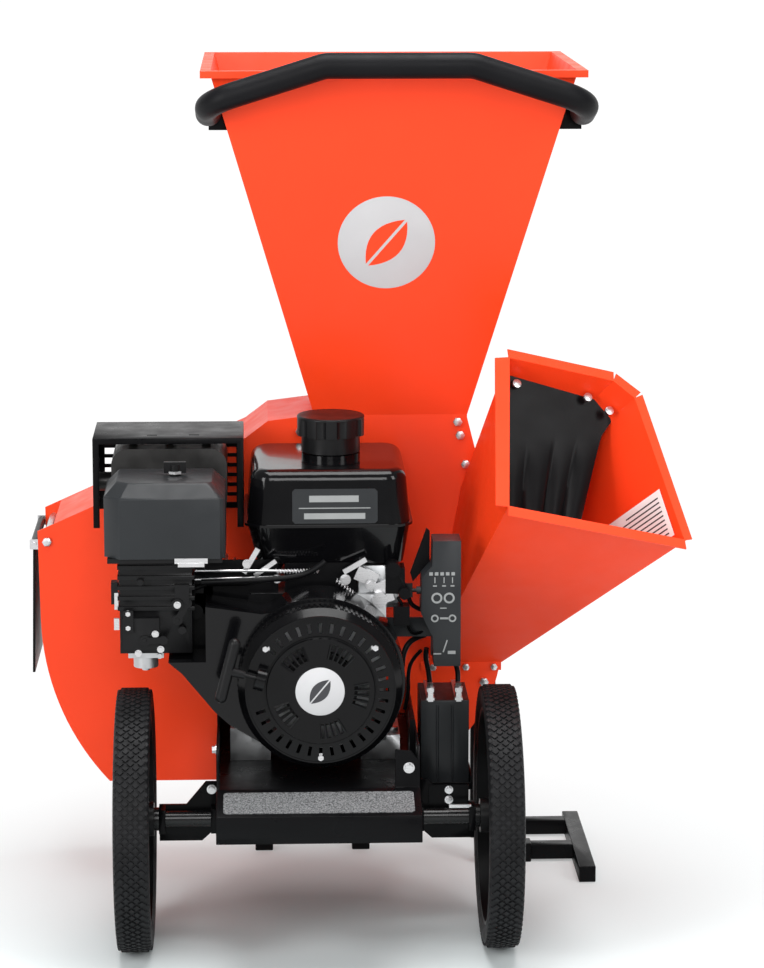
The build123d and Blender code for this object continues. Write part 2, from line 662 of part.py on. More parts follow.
GRIP_MIDDLE = (-135.0, -110.0, 466.0)
ROPE_EXIT = (-80.0, -110.0, 450.0)
PULL_DIRECTION = (Vector(*GRIP_MIDDLE) - Vector(*ROPE_EXIT)).normalized()


def make_pull_handle():
    middle = Vector(*GRIP_MIDDLE)
    across = Vector(0.25, 0, 0.97).normalized()
    grip = rod(middle - across * 42, middle + across * 42, 9)
    grip += Solid.make_cone(8, 5.5, 26, Plane(origin=middle, z_dir=-PULL_DIRECTION))
    grip += Solid.make_sphere(9).moved(Location(middle - across * 42))
    grip += Solid.make_sphere(9).moved(Location(middle + across * 42))
    rope = rod(Vector(*ROPE_EXIT) + PULL_DIRECTION, middle - PULL_DIRECTION * 26, 2.5)
    return group([grip, rope])


def make_starter_pulley():
    pulley = rod_y(CRANK_X, CRANK_Z, -90, -62, 56) - rod_y(CRANK_X, CRANK_Z, -82, -70, 60)
    pulley += rod_y(CRANK_X, CRANK_Z, -84, -68, 44)
    return pulley - rod_y(CRANK_X, CRANK_Z, -91, -61, 8 + RUN)


def make_fan():
    """Flywheel with fan blades and the starter cup, pressed on the crankshaft."""
    fan = rod_y(CRANK_X, CRANK_Z, 0, 22, 102) + rod_y(CRANK_X, CRANK_Z, -34, 0, 30)
    for k in range(16):
        x, z = polar(CRANK_X, CRANK_Z, 78, 22.5 * k)
        fan += Pos(x, -11, z) * Rot(0, -22.5 * k + 20, 0) * Box(38, 24, 4)
    return fan - rod_y(CRANK_X, CRANK_Z, -35, 23, SHAFT_R)


def tank_solid(inset, drop):
    low = rounded_slab(-90 + inset, 136 - inset, 62 + inset, 292 - inset, TANK_LOW_Z + inset, 26)
    seam = rounded_slab(-106 + inset, 146 - inset, 44 + inset, 307 - inset, TANK_SEAM_Z, 34)
    top = rounded_slab(-98 + inset, 139 - inset, 52 + inset, 300 - inset, TANK_TOP_Z - drop, 32)
    return loft([low, seam], ruled=True) + loft([seam, top], ruled=True)


def make_tank():
    round_over = 18
    tank = fillet(tank_solid(0, 0).edges().group_by(Axis.Z)[-1], round_over)
    tank += extrude(rounded_slab(-110, 150, 40, 311, TANK_SEAM_Z - 2, 36), amount=4)
    tank -= tank_solid(3, round_over)
    tank += rod_z(TANK_MID_X, TANK_MID_Y, TANK_TOP_Z - 4, TANK_TOP_Z + 7, 46)
    tank += rod_z(TANK_MID_X, TANK_MID_Y, TANK_TOP_Z + 6, TANK_TOP_Z + 24, NECK_R)
    tank -= rod_z(TANK_MID_X, TANK_MID_Y, TANK_TOP_Z - 20, TANK_TOP_Z + 25, NECK_R - 4)
    return tank


def make_fuel_cap():
    """Fluted cap that turns on the filler neck."""
    low = TANK_TOP_Z + 9
    top = TANK_TOP_Z + 66
    cap = rod_z(TANK_MID_X, TANK_MID_Y, low, low + 28, 46)
    cap += rod_z(TANK_MID_X, TANK_MID_Y, low + 26, top, 53)
    for k in range(10):
        x, y = polar(TANK_MID_X, TANK_MID_Y, 58, 36 * k)
        cap -= rod_z(x, y, low + 25, top - 4, 10)
    cap = fillet(cap.edges().group_by(Axis.Z)[-1], 3)
    return cap - rod_z(TANK_MID_X, TANK_MID_Y, low - 1, low + 22, NECK_R + 1)


def cleaner_outline(inset, bevel, z):
    x0, x1, y0, y1 = -322 + inset, -138 - inset, -30 + inset, 125 - inset
    return make_face(Polyline((x0, y0 + bevel, z), (x0 + bevel, y0, z), (x1 - 8, y0, z),
                              (x1, y0 + 8, z), (x1, y1, z), (x0, y1, z), close=True))


def cleaner_solid(inset):
    side = loft([cleaner_outline(inset, 24, CLEANER_Z), cleaner_outline(inset, 24, 711)], ruled=True)
    top = loft([cleaner_outline(inset, 24, 711), cleaner_outline(inset + 20, 18, 733 - inset)], ruled=True)
    return side + top


def make_cleaner_cover():
    cover = cleaner_solid(0) - cleaner_solid(3)
    return cover - rod_z(-215, 50, 720, 740, 3.5)


def make_cleaner_base():
    low = CLEANER_Z - 7
    base = box(-317, -143, -25, 120, low, CLEANER_Z) - box(-290, -190, 10, 60, low - 1, CLEANER_Z + 1)
    return base + rod_z(-215, 50, low + 4, 733, 3.5) + box(-225, -205, 10, 60, low, CLEANER_Z)


def make_filter():
    filter_pad = box(-295, -165, -5, 100, CLEANER_Z, 700)
    return filter_pad - box(-270, -190, 15, 80, CLEANER_Z - 1, 701)


def make_cleaner_knob():
    knob = rod_z(-215, 50, 733 + GAP, 750, 8) + box(-232, -198, 46, 54, 737, 754)
    return knob


def make_intake_box():
    intake = box(-300, -190, 0, 54, 466, CLEANER_Z - 7)
    for z in (601, 585, 569, 553, 537):
        intake += box(-303, -186, -5, 55, z - 3, z + 3)
    intake += box(-296, -240, -14, 0, 474, 524)
    intake += rod_y(-262, 490, -20, -14, 3)
    intake += rod_y(-212, 520, -11, 0, 3)
    return intake


def make_carburettor():
    bowl = rod_z(-262, 26, 440, 460, 19) + box(-288, -234, 2, 50, 458, 466) + rod_z(-262, 26, 434, 442, 6)
    return bowl + rod_y(-240, 462, -4, 4, 4)


def make_lever(x, y, z, length, degrees):
    """Flat lever that turns on a pin of 3 mm radius along Y, in front of the face at y."""
    arm = box(0, length, -4, -0.4, -5, 5) + rod_y(0, 0, -4, -0.4, 8) + rod_y(length, 0, -4, -0.4, 7)
    arm -= rod_y(0, 0, -10, 3, 3 + RUN)
    return Pos(x, y, z) * Rot(0, -degrees, 0) * arm


GUARD_TOP = 772.0


def make_muffler():
    body = box(-318, -137, 168, 284, 645, 752)
    body = fillet(body.edges().filter_by(Axis.Y), 26)
    for x in (-285, -170):
        body += rod_z(x, 226, 750, GUARD_TOP - 2, 7)
    body += rod_x(226, 690, -346, -316, 15)
    body -= rod_x(226, 690, -347, -310, 12)
    return group([body, exhaust_pipe()])


def make_muffler_guard():
    x0, x1, y0, y1, z0, z1 = -346, -111, 150, 300, 630, GUARD_TOP
    guard = box(x0, x1, y0, y1, z0, z1) - box(x0 + 2, x1 - 2, y0 + 2, y1 - 2, z0 - 1, z1 - 2)
    guard -= box(x0 + 10, x1 - 10, y0 - 1, y0 + 3, z0 - 1, z1 - 9)
    guard -= box(x0 - 1, x0 + 3, 206, 246, 668, 712)
    for k in range(8):
        z = 640 + 16 * k
        guard -= box(x0 + 12, x0 + 110, y1 - 3, y1 + 1, z, z + 10)
        guard -= box(x1 - 110, x1 - 12, y1 - 3, y1 + 1, z, z + 10)
        guard -= box(x1 - 3, x1 + 1, y0 + 14, y1 - 14, z, z + 10)
        if z > 705 or z < 660:
            guard -= box(x0 - 1, x0 + 3, y0 + 14, y1 - 14, z, z + 10)
    for x in (-262, -196):
        guard -= box(x, x + 16, 176, 182, z1 - 3, z1 + 1)
    return guard


def exhaust_pipe():
    pipe = rod_z(-215, 226, 540, 645, 15) - rod_z(-215, 226, 539, 646, 12) - make_block()
    return max(pipe.solids(), key=lambda solid: solid.center().Z)


def make_governor_rods():
    return group([rod((-186, 30, 574), (66, 74, 570), 2), rod((-186, 30, 588), (-30, 40, 584), 2)])


def make_fuel_hose():
    points = [(-190, 44, 556), (-168, 52, 562), (-108, 54, 562), (-66, 66, 564), (-52, 84, 590.5)]
    path = FilletPolyline(*points, radius=14)
    hose = sweep(Plane(origin=path @ 0, z_dir=path % 0) * Circle(4), path=path)
    return hose - tank_solid(0, 0) - make_intake_box()


def build_engine():
    nodes["engine_block"] = make_block()
    nodes["fan_shroud"] = make_shroud()
    nodes["recoil_cover"] = make_recoil_cover()
    nodes["pull_handle"] = make_pull_handle()
    nodes["starter_pulley"] = make_starter_pulley()
    nodes["fan_flywheel"] = make_fan()
    nodes["fuel_tank"] = make_tank()
    nodes["fuel_cap"] = make_fuel_cap()
    nodes["air_cleaner_cover"] = make_cleaner_cover()
    nodes["air_cleaner_base"] = make_cleaner_base()
    nodes["air_filter"] = make_filter()
    nodes["air_cleaner_knob"] = make_cleaner_knob()
    nodes["intake_box"] = make_intake_box()
    nodes["carburettor"] = make_carburettor()
    nodes["choke_lever"] = make_lever(-212, -6, 520, 30, 60)
    nodes["fuel_valve_lever"] = make_lever(-262, -14, 490, 28, 0)
    nodes["muffler"] = make_muffler()
    nodes["muffler_guard"] = make_muffler_guard()
    nodes["governor_rods"] = make_governor_rods()
    nodes["fuel_hose"] = make_fuel_hose()


# ---------------------------------------------------------------- controls and battery

CONTROL_POINTS = [(179, 633), (222, 633), (222, 436), (181, 436), (179, 482), (161, 519), (162, 576),
                  (178, 594)]
KEY_Y = 48.0
KEY_Z = 550.0
BATTERY_Z = 232.0


def make_control_box():
    case = prism_y(CONTROL_POINTS, 20, 74)
    inner = [(182, 630), (219, 630), (219, 439), (184, 439), (182, 484), (164, 521), (165, 575), (181, 592)]
    case -= prism_y(inner, 23, 72)
    case += box(108, 181, 74, 80, 470, 500) + box(179, 222, 74, 80, 440, 500)
    case += rod_x(KEY_Y, KEY_Z, 155, 172, 6)
    return case - rod_x(KEY_Y, KEY_Z, 154, 166, 3 + RUN)


def make_key():
    return rod_x(KEY_Y, KEY_Z, 148, 165, 3) + box(134, 149, KEY_Y - 2, KEY_Y + 2, KEY_Z - 11, KEY_Z + 11)


def make_battery():
    battery = box(163, 238, 60, 170, BATTERY_Z, 371)
    for x in (189, 212):
        battery -= box(x - 1.5, x + 1.5, 59, 61, BATTERY_Z + 6, 362)
    return battery


def make_battery_tray():
    floor = BATTERY_Z - 4
    tray = box(DECK_HALF, 243, 55, 175, floor, BATTERY_Z) + box(DECK_HALF, 243, 55, 58, floor, BATTERY_Z + 8)
    tray += box(240, 243, 55, 175, floor, BATTERY_Z + 18)
    return tray + box(DECK_HALF, 160, 55, 175, floor, 300)


def make_battery_clamps():
    clamps = []
    for x in (178, 222):
        clamps.append(box(x - 6, x + 6, 60, 170, 371, 375) + rod_z(x, 76, 375, 383, 5))
    return group(clamps)


def mounting_bolts():
    bolts = []
    for x in (-119, 119):
        for y in (76, 250):
            bolts.append(rod_z(x, y, 318 if x > 0 else 330, 326 if x > 0 else 338, 9))
    return bolts


def build_controls():
    nodes["control_box"] = make_control_box()
    nodes["ignition_key"] = make_key()
    nodes["battery"] = make_battery()
    nodes["battery_tray"] = make_battery_tray()
    nodes["battery_clamps"] = make_battery_clamps()
    nodes["bolts"] = group(housing_bolts() + mounting_bolts() + curtain_bolts() + foot_screws())


def main():
    build_chassis()
    build_housing()
    build_rotor()
    build_hopper()
    build_chute()
    build_engine()
    build_controls()
    os.makedirs("parts", exist_ok=True)
    low = [1e9, 1e9, 1e9]
    high = [-1e9, -1e9, -1e9]
    for name, shape in nodes.items():
        moved = Pos(-ORIGIN_X, -ORIGIN_Y, 0) * shape
        export_step(moved, f"parts/{name}.step")
        extent = moved.bounding_box()
        low = [min(a, b) for a, b in zip(low, extent.min)]
        high = [max(a, b) for a, b in zip(high, extent.max)]
    print(len(nodes), "nodes, box", [round(v, 2) for v in low], [round(v, 2) for v in high])


main()
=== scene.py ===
import json
import math

import bmesh
import bpy
from mathutils import Matrix, Vector


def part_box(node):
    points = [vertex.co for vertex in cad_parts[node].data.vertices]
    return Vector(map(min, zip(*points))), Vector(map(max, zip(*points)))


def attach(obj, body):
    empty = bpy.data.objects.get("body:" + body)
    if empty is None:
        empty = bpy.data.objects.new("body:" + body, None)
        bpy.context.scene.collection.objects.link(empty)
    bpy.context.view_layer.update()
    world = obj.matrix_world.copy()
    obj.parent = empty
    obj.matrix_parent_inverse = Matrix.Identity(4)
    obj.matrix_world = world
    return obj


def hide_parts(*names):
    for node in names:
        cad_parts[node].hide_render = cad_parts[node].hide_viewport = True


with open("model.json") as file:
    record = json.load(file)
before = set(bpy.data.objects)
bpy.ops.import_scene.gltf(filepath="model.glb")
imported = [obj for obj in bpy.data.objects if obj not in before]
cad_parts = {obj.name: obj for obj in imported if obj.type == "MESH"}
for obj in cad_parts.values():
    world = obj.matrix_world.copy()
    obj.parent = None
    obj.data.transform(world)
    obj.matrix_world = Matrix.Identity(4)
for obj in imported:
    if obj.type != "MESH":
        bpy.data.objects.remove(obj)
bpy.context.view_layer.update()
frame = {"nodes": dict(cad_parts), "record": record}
nodes = frame["nodes"]

# The working frame: millimetres, X and Y counted from the middle of the axle, Z from the floor.
axle_low, axle_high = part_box("axle")
ORIGIN = Vector(((axle_low.x + axle_high.x) / 2, (axle_low.y + axle_high.y) / 2, 0))
MM = 0.001
FORWARDS = (0, -1, 0)          # the way the engine side faces


def at(x, y, z):
    """A point of the working frame, in millimetres, as a scene point in metres."""
    return ORIGIN + Vector((x, y, z)) * MM


# ---------------------------------------------------------------- materials

def new_material(name):
    """A material with its node tree and its shader."""
    material = bpy.data.materials.new(name)
    material.use_nodes = True
    tree = material.node_tree
    return material, tree, tree.nodes["Principled BSDF"]


def noise(tree, scale, detail=4.0, roughness=0.5):
    texture = tree.nodes.new("ShaderNodeTexNoise")
    texture.inputs["Scale"].default_value = scale
    texture.inputs["Detail"].default_value = detail
    texture.inputs["Roughness"].default_value = roughness
    coordinates = tree.nodes.new("ShaderNodeTexCoord")
    tree.links.new(coordinates.outputs["Object"], texture.inputs["Vector"])
    return texture


def ramp(tree, source, stops):
    """A colour ramp from (position, colour) stops."""
    node = tree.nodes.new("ShaderNodeValToRGB")
    elements = node.color_ramp.elements
    while len(elements) < len(stops):
        elements.new(0.5)
    for element, (position, colour) in zip(elements, stops):
        element.position = position
        element.color = (*colour, 1)
    tree.links.new(source, node.inputs["Fac"])
    return node


def add_bump(tree, shader, height, strength, distance):
    bump = tree.nodes.new("ShaderNodeBump")
    bump.inputs["Strength"].default_value = strength
    bump.inputs["Distance"].default_value = distance
    tree.links.new(height, bump.inputs["Height"])
    tree.links.new(bump.outputs["Normal"], shader.inputs["Normal"])


def finish_material(name, colour, roughness, metallic=0.0, coat=0.0, coat_roughness=0.1, vary=0.06,
                    vary_scale=9.0, grain=400.0, grain_strength=0.15, grain_distance=0.0002, rough_vary=0.08,
                    specular=0.5):
    """A finish with slight mottling of its colour and roughness and a fine surface grain."""
    material, tree, shader = new_material(name)
    low = tuple(c * (1 - vary) for c in colour)
    high = tuple(min(1.0, c * (1 + vary)) for c in colour)
    mottle = noise(tree, vary_scale)
    tint = ramp(tree, mottle.outputs["Fac"], [(0.35, low), (0.65, high)])
    tree.links.new(tint.outputs["Color"], shader.inputs["Base Color"])
    smoothest = max(0.02, roughness - rough_vary)
    roughest = min(1.0, roughness + rough_vary)
    patches = noise(tree, vary_scale * 3)
    gloss = ramp(tree, patches.outputs["Fac"], [(0.3, (smoothest,) * 3), (0.7, (roughest,) * 3)])
    tree.links.new(gloss.outputs["Color"], shader.inputs["Roughness"])
    shader.inputs["Metallic"].default_value = metallic
    shader.inputs["Coat Weight"].default_value = coat
    shader.inputs["Coat Roughness"].default_value = coat_roughness
    shader.inputs["Specular IOR Level"].default_value = specular
    add_bump(tree, shader, noise(tree, grain, 2.0).outputs["Fac"], grain_strength, grain_distance)
    return material


def brushed_material(name, colour, roughness):
    """Bright metal with fine lines along one axis."""
    material, tree, shader = new_material(name)
    shader.inputs["Metallic"].default_value = 1.0
    coordinates = tree.nodes.new("ShaderNodeTexCoord")
    mapping = tree.nodes.new("ShaderNodeMapping")
    mapping.inputs["Scale"].default_value = (1, 1, 40)
    lines = tree.nodes.new("ShaderNodeTexNoise")
    lines.inputs["Scale"].default_value = 60
    tree.links.new(coordinates.outputs["Object"], mapping.inputs["Vector"])
    tree.links.new(mapping.outputs["Vector"], lines.inputs["Vector"])
    low = tuple(c * 0.82 for c in colour)
    tint = ramp(tree, lines.outputs["Fac"], [(0.3, low), (0.7, colour)])
    tree.links.new(tint.outputs["Color"], shader.inputs["Base Color"])
    roughest = min(1.0, roughness + 0.18)
    gloss = ramp(tree, lines.outputs["Fac"], [(0.3, (roughness,) * 3), (0.7, (roughest,) * 3)])
    tree.links.new(gloss.outputs["Color"], shader.inputs["Roughness"])
    add_bump(tree, shader, lines.outputs["Fac"], 0.08, 0.0002)
    return material


def grip_material():
    """Mottled anti-slip tape: coarse grit in two greys."""
    material, tree, shader = new_material("grip tape")
    grit = noise(tree, 420, 3.0, 0.7)
    tint = ramp(tree, grit.outputs["Fac"], [(0.38, (0.03, 0.031, 0.033)), (0.62, (0.22, 0.225, 0.23))])
    tree.links.new(tint.outputs["Color"], shader.inputs["Base Color"])
    shader.inputs["Roughness"].default_value = 0.85
    add_bump(tree, shader, grit.outputs["Fac"], 0.8, 0.0008)
    return material


MATERIALS = {
    "orange_steel": finish_material(
        "orange powder coat", (0.90, 0.054, 0.010), 0.42, vary=0.02, coat=0.08, coat_roughness=0.2,
        grain=900, grain_strength=0.10, specular=0.22),
    "black_steel": finish_material(
        "black powder coat", (0.0035, 0.0035, 0.004), 0.32, coat=0.02, coat_roughness=0.15, grain=1100,
        grain_strength=0.12, specular=0.07),
    "gloss_black_steel": finish_material(
        "black enamel", (0.0025, 0.0025, 0.003), 0.14, coat=0.22, coat_roughness=0.03, grain=60,
        grain_strength=0.02, rough_vary=0.03, specular=0.16),
    "gloss_black_plastic": finish_material(
        "gloss black plastic", (0.0022, 0.0022, 0.0026), 0.2, coat=0.1, coat_roughness=0.04, grain=500,
        grain_strength=0.03, specular=0.14),
    "grip_tape": grip_material(),
    "axle_steel": finish_material("axle paint", (0.004, 0.004, 0.0045), 0.28, coat=0.25, specular=0.2),
    "tyre": finish_material(
        "tyre rubber", (0.0085, 0.0086, 0.0095), 0.55, vary=0.25, grain=700, grain_strength=0.3,
        vary_scale=25, specular=0.16),
    "black_plastic": finish_material(
        "moulded black plastic", (0.0055, 0.0055, 0.006), 0.36, grain=1500, grain_strength=0.2,
        specular=0.2),
    "satin_plastic": finish_material(
        "satin grey-black plastic", (0.018, 0.020, 0.022), 0.38, grain=1600, grain_strength=0.25,
        vary=0.08, specular=0.25),
    "zinc_steel": brushed_material("zinc plate", (0.72, 0.72, 0.73), 0.24),
    "bare_steel": brushed_material("machined steel", (0.45, 0.44, 0.43), 0.3),
    "cast_housing": finish_material(
        "cast iron", (0.09, 0.09, 0.095), 0.55, metallic=0.6, grain=260, grain_strength=0.5),
    "black_rubber": finish_material(
        "black rubber", (0.004, 0.004, 0.0045), 0.34, vary=0.08, grain=600, grain_strength=0.1,
        specular=0.1, rough_vary=0.03),
    "grip_foam": finish_material(
        "closed-cell foam", (0.006, 0.006, 0.007), 0.44, vary=0.12, grain=850, grain_strength=0.5,
        grain_distance=0.0004, specular=0.1),
    "engine_aluminium": finish_material(
        "cast aluminium", (0.56, 0.57, 0.58), 0.38, metallic=0.95, grain=420, grain_strength=0.5,
        vary=0.12, vary_scale=20),
    "filter_paper": finish_material("filter paper", (0.7, 0.62, 0.42), 0.9, grain=900, grain_strength=0.4),
    "muffler_steel": finish_material(
        "heat-stained steel", (0.045, 0.044, 0.043), 0.36, metallic=0.6, vary=0.3, vary_scale=14,
        grain=300, grain_strength=0.3),
}
PALE = finish_material("pale grey print", (0.50, 0.50, 0.51), 0.45, vary=0.04, grain=900, grain_strength=0.05)
ICON = finish_material("grey switch print", (0.24, 0.25, 0.25), 0.5, vary=0.1, grain=900, grain_strength=0.05)
WHITE_LABEL = finish_material("white label", (0.82, 0.82, 0.81), 0.5, vary=0.02, grain=700,
                              grain_strength=0.05)
DARK_PRINT = finish_material("dark print", (0.03, 0.03, 0.035), 0.6)

for entry in frame["record"]["subparts"]:
    mesh = nodes[entry["node"]].data
    mesh.materials.clear()
    mesh.materials.append(MATERIALS[entry["material_slot"]])


# ---------------------------------------------------------------- mesh helpers

def add_object(name, mesh, slot_name, body="chassis", material=None):
    """Link a mesh as a piece that rides on a body."""
    piece = bpy.data.objects.new(name, mesh)
    bpy.context.scene.collection.objects.link(piece)
    mesh.materials.clear()
    mesh.materials.append(material or MATERIALS[slot_name])
    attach(piece, body)
    return piece


def mesh_from(name, make, smooth_degrees=38):
    """Build a mesh with a function that fills a bmesh, and smooth it up to an angle."""
    bm = bmesh.new()
    make(bm)
    bmesh.ops.recalc_face_normals(bm, faces=bm.faces)
    mesh = bpy.data.meshes.new(name)
    bm.to_mesh(mesh)
    bm.free()
    mesh.shade_smooth()
    mesh.set_sharp_from_angle(angle=math.radians(smooth_degrees))
    return mesh


def weld_and_bevel(piece, width, segments=2, degrees=35):
    """Round a piece's edges with modifiers, which leave its own vertices alone."""
    weld = piece.modifiers.new("weld", "WELD")
    weld.merge_threshold = 0.00002
    bevel = piece.modifiers.new("bevel", "BEVEL")
    bevel.width = width * MM
    bevel.segments = segments
    bevel.limit_method = "ANGLE"
    bevel.angle_limit = math.radians(degrees)
    bevel.use_clamp_overlap = True
    bevel.harden_normals = True
    return piece


def cylinder(bm, centre, axis, radius, length, sides=32, top_radius=None):
    """A closed cylinder or cone whose middle is at centre."""
    turn = Vector((0, 0, 1)).rotation_difference(Vector(axis).normalized()).to_matrix().to_4x4()
    return bmesh.ops.create_cone(bm, cap_ends=True, segments=sides, radius1=radius,
                                 radius2=radius if top_radius is None else top_radius, depth=length,
                                 matrix=Matrix.Translation(centre) @ turn)["verts"]


def lathe(bm, centre, axis, profile, steps=96):
    """Turn a closed profile of (radius, along) points, in millimetres, about an axis through centre."""
    turn = Vector((0, 0, 1)).rotation_difference(Vector(axis).normalized()).to_matrix()
    rings = []
    for k in range(steps):
        angle = 2 * math.pi * k / steps
        ring = []
        for radius, along in profile:
            local = Vector((radius * math.cos(angle), radius * math.sin(angle), along)) * MM
            ring.append(bm.verts.new(centre + turn @ local))
        rings.append(ring)
    count = len(profile)
    for k in range(steps):
        here, there = rings[k], rings[(k + 1) % steps]
        for i in range(count):
            j = (i + 1) % count
            bm.faces.new((here[i], here[j], there[j], there[i]))


def block(bm, centre, size, turn=None):
    """A cuboid of the given full size in millimetres."""
    matrix = Matrix.Translation(centre) @ (turn.to_4x4() if turn else Matrix.Identity(4))
    matrix = matrix @ Matrix.Diagonal((size[0] * MM, size[1] * MM, size[2] * MM, 1))
    return bmesh.ops.create_cube(bm, size=1, matrix=matrix)["verts"]


def tube_piece(name, points, radius, slot_name):
    """A round wire, hose or cable along smooth points, as a mesh."""
    curve = bpy.data.curves.new(name, "CURVE")
    curve.dimensions = "3D"
    curve.bevel_depth = radius * MM
    curve.bevel_resolution = 4
    curve.resolution_u = 8
    curve.use_fill_caps = True
    spline = curve.splines.new("NURBS")
    spline.points.add(len(points) - 1)
    for point, place in zip(spline.points, points):
        point.co = (*place, 1)
    spline.order_u = 3
    spline.use_endpoint_u = True
    holder = bpy.data.objects.new(name + "_curve", curve)
    bpy.context.scene.collection.objects.link(holder)
    bpy.context.view_layer.update()
    mesh = bpy.data.meshes.new_from_object(holder)
    bpy.data.objects.remove(holder)
    bpy.data.curves.remove(curve)
    mesh.name = name
    mesh.shade_smooth()
    return add_object(name, mesh, slot_name)


def smooth_cad(name, degrees=32):
    """Smooth shading on a CAD node, sharp over the given angle."""
    mesh = nodes[name].data
    mesh.shade_smooth()
    mesh.set_sharp_from_angle(angle=math.radians(degrees))


for node_name in nodes:
    smooth_cad(node_name)
for node_name, width in (("deck", 1.2), ("air_cleaner_cover", 4.0), ("control_box", 3.0), ("battery", 2.5),
                         ("foot", 2.0), ("foot_sleeves", 2.0), ("rear_stand", 2.0), ("battery_tray", 0.8),
                         ("axle_brackets", 0.8), ("intake_box", 1.2), ("muffler_guard", 0.5),
                         ("handle_brackets", 1.5), ("engine_block", 1.2), ("bolts", 0.6)):
    weld_and_bevel(nodes[node_name], width)


# ---------------------------------------------------------------- wheels

WHEEL_CENTRE_Z = (axle_low.z + axle_high.z) / 2


def tyre_profile(radius, inner, half):
    """Points of a solid tyre's section, as (radius, across), with round shoulders."""
    shoulder = 13.0
    points = [(inner, -half + 4), (inner + 5, -half + 1), (inner + 12, -half)]
    for k in range(7):
        angle = math.pi / 2 * k / 6
        across = -half + shoulder * (1 - math.cos(angle)) * 0.7
        points.append((radius - shoulder + shoulder * math.sin(angle), across))
    mirrored = [(r, -across) for r, across in reversed(points)]
    return points + mirrored


def make_tyre(name, body):
    """Solid tyre with raised diamond tread blocks in rows round it."""
    low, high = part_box(name)
    centre = (low + high) / 2
    half = (high.x - low.x) / 2 / MM
    radius = (high.z - low.z) / 2 / MM
    groove = 3.0

    def carcass(bm):
        lathe(bm, centre, (1, 0, 0), tyre_profile(radius - groove, radius - 35, half), 128)

    tyre = add_object(name + "_tread", mesh_from(name, carcass), "tyre", body)

    def blocks(bm):
        rows, around = 6, 92
        reach = half - 3.5
        pitch = 2 * reach / rows
        for row in range(rows + 1):
            across = -reach + pitch * row
            crown = radius - 0.6 - 4.5 * max(0.0, abs(across) / half - 0.62) * 2.6
            for k in range(around):
                angle = 2 * math.pi * (k + 0.5 * (row % 2)) / around
                arc = 2 * math.pi / around
                diamond = [(0.78, 0), (0, 0.76), (-0.78, 0), (0, -0.76)]
                top, bottom = [], []
                for along, side in diamond:
                    turn = angle + along * arc * 0.5
                    x = min(max(across + side * pitch, -half + 0.8), half - 0.8)
                    for ring, height, shrink in ((top, crown, 0.8), (bottom, crown - groove - 0.8, 1.0)):
                        turn_here = angle + along * arc * 0.5 * shrink
                        x_here = across + (x - across) * shrink
                        ring.append(bm.verts.new(centre + Vector((x_here, height * math.sin(turn_here),
                                                                  height * math.cos(turn_here))) * MM))
                bm.faces.new(top)
                bm.faces.new(list(reversed(bottom)))
                for i in range(4):
                    j = (i + 1) % 4
                    bm.faces.new((top[i], bottom[i], bottom[j], top[j]))

    tread = add_object(name + "_blocks", mesh_from(name + "_blocks", blocks, 20), "tyre", body)
    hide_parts(name)
    return tyre, tread


make_tyre("left_tyre", "left_wheel_body")
make_tyre("right_tyre", "right_wheel_body")


# ---------------------------------------------------------------- recoil cover details

CRANK_X, CRANK_Z = 4.0, 430.0
COVER_FRONT_Y = -101.0
COVER_R = 124.0


def on_cover(radius, angle, y):
    """A point round the recoil cover's axis."""
    return at(CRANK_X + radius * math.cos(angle), y, CRANK_Z + radius * math.sin(angle))


def leaf(bm, centre, right, up, out, size, thickness):
    """A simple leaf shape with a gap along its middle, as two raised halves."""
    steps = 12
    for side in (-1, 1):
        edge = []
        for k in range(steps + 1):
            along = -1 + 2 * k / steps
            edge.append((side * (0.05 + 0.5 * (1 - along * along)), along))
        line = [(side * 0.05, 1), (side * 0.05, -1)]
        outline = edge + line
        tops, lows = [], []
        for across, along in outline:
            turned = (across * 0.77 + along * 0.64, along * 0.77 - across * 0.64)
            place = centre + (right * turned[0] + up * turned[1]) * size * MM
            tops.append(bm.verts.new(place + out * thickness * MM))
            lows.append(bm.verts.new(place))
        bm.faces.new(tops)
        bm.faces.new(list(reversed(lows)))
        count = len(outline)
        for i in range(count):
            j = (i + 1) % count
            bm.faces.new((tops[i], lows[i], lows[j], tops[j]))


def badge(name, centre, out, radius, thickness, leaf_material):
    """A pale disc with a plain leaf on it."""
    out = Vector(out).normalized()
    right = Vector((1, 0, 0))
    up = out.cross(right).normalized()
    if up.z < 0:
        up = -up

    def disc(bm):
        lathe(bm, centre, out, [(0.01, 0), (radius, 0), (radius, thickness * 0.6), (radius - 1, thickness),
                                (0.01, thickness)], 96)

    add_object(name, mesh_from(name, disc), "zinc_steel", material=PALE)

    def mark(bm):
        leaf(bm, centre + out * thickness * MM, right, up, out, radius * 0.62, 0.4)

    add_object(name + "_leaf", mesh_from(name + "_leaf", mark), "black_plastic", material=leaf_material)


badge("cover_emblem", at(CRANK_X - 1, COVER_FRONT_Y, CRANK_Z), FORWARDS, 37, 1.6, DARK_PRINT)


def knurl(bm):
    """Small ribs round the recoil cover."""
    for k in range(96):
        angle = 2 * math.pi * k / 96
        turn = Matrix.Rotation(-angle, 3, "Y")
        block(bm, on_cover(COVER_R + 0.3, angle, -62), (2.0, 26, 4.0), turn)


add_object("cover_knurl", mesh_from("cover_knurl", knurl), "gloss_black_plastic")


def cover_rings(bm):
    """Two raised rings on the recoil cover."""
    for radius, y in ((82.5, -96.5), (112.5, -92.5)):
        section = [(radius - 1.6, -1), (radius - 1.2, 1.6), (radius + 1.2, 1.6), (radius + 1.6, -1)]
        lathe(bm, at(CRANK_X, y, CRANK_Z), FORWARDS, section, 128)


add_object("cover_rings", mesh_from("cover_rings", cover_rings), "gloss_black_plastic")


